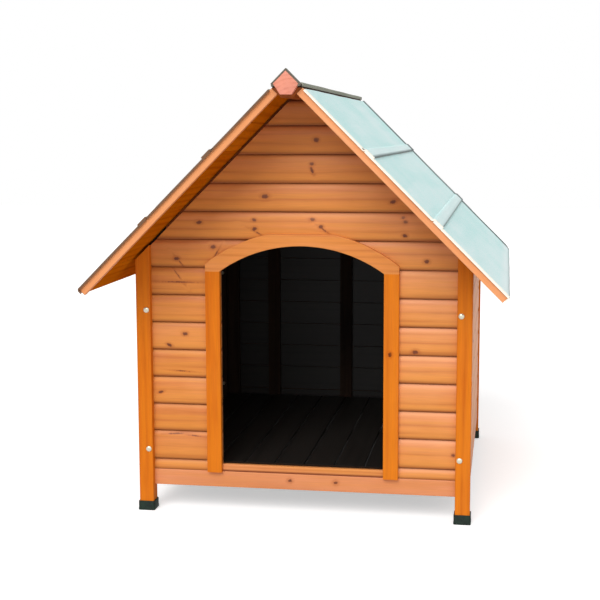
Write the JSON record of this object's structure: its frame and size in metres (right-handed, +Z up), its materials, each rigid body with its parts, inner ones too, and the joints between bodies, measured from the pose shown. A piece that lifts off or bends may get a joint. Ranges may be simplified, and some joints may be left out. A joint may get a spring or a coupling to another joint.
{
  "type": "dog house",
  "caption": "Raised wooden dog house with log-lap board walls, an arched doorway, a felted saddle roof that hinges open on one side, and a lift-out floor.",
  "frame": {"origin": "on the ground, under the middle of the overall outline", "axes": "+X to the right of the doorway as seen from in front, +Y from the doorway to the rear wall, +Z up"},
  "size_m": [0.9642, 1.136, 1.0507],
  "materials": {
    "board_wood": "honey-stained spruce boards",
    "post_wood": "orange-stained planed pine",
    "inner_wood": "dark-stained sawn pine",
    "roof_felt": "pale green mineral-faced roofing felt",
    "ridge_felt": "olive-grey roofing felt strip",
    "foot_plastic": "dark green moulded plastic",
    "zinc_steel": "zinc-plated steel"
  },
  "bodies": {
    "house": {"corner_cleats": "inner_wood", "door_frame": "inner_wood", "door_trim_head": "post_wood", "door_trim_left": "post_wood", "door_trim_right": "post_wood", "floor_bearers": "inner_wood", "foot_caps": "foot_plastic", "frame_bolts": "zinc_steel", "front_arch_board": "board_wood", "front_boards_left": "board_wood", "front_boards_right": "board_wood", "front_gable_block": "board_wood", "front_gable_boards": "board_wood", "front_left_post": "post_wood", "front_rafters": "inner_wood", "front_rail": "board_wood", "front_right_post": "post_wood", "front_sill_board": "board_wood", "gable_block_felt": "ridge_felt", "hinge_fixed_leaves": "zinc_steel", "hinge_pins": "zinc_steel", "left_rail": "board_wood", "left_wall_battens": "inner_wood", "left_wall_boards": "board_wood", "rear_boards": "board_wood", "rear_gable_block": "board_wood", "rear_left_post": "post_wood", "rear_rafters": "inner_wood", "rear_rail": "board_wood", "rear_right_post": "post_wood", "rear_studs": "inner_wood", "ridge_beam": "inner_wood", "ridge_cap_board": "inner_wood", "ridge_cap_felt": "ridge_felt", "right_felt_lower": "roof_felt", "right_felt_middle": "roof_felt", "right_felt_upper": "roof_felt", "right_rail": "board_wood", "right_rakes": "board_wood", "right_roof_battens": "inner_wood", "right_roof_boards": "board_wood", "right_wall_battens": "inner_wood", "right_wall_boards": "board_wood", "wall_plates": "inner_wood"},
    "left_roof": {"hinge_turning_leaves": "zinc_steel", "left_felt_lower": "roof_felt", "left_felt_middle": "roof_felt", "left_felt_upper": "roof_felt", "left_rakes": "board_wood", "left_roof_battens": "inner_wood", "left_roof_boards": "board_wood"},
    "floor_left": {"floor_left_boards": "inner_wood", "floor_left_cleats": "inner_wood"},
    "floor_right": {"floor_right_boards": "inner_wood", "floor_right_cleats": "inner_wood"}
  },
  "joints": [
    {"name": "left_roof_hinge", "type": "hinge", "parent": "house", "child": "left_roof", "pos_m": [-0.0396, 0, 1.01387], "axis": [0, 1, 0], "range_deg": [0, 160]},
    {"name": "floor_left_lift", "type": "slide", "parent": "house", "child": "floor_left", "axis": [0, 0, 1], "range_m": [0, 0.15]},
    {"name": "floor_right_lift", "type": "slide", "parent": "house", "child": "floor_right", "axis": [0, 0, 1], "range_m": [0, 0.15]}
  ]
}
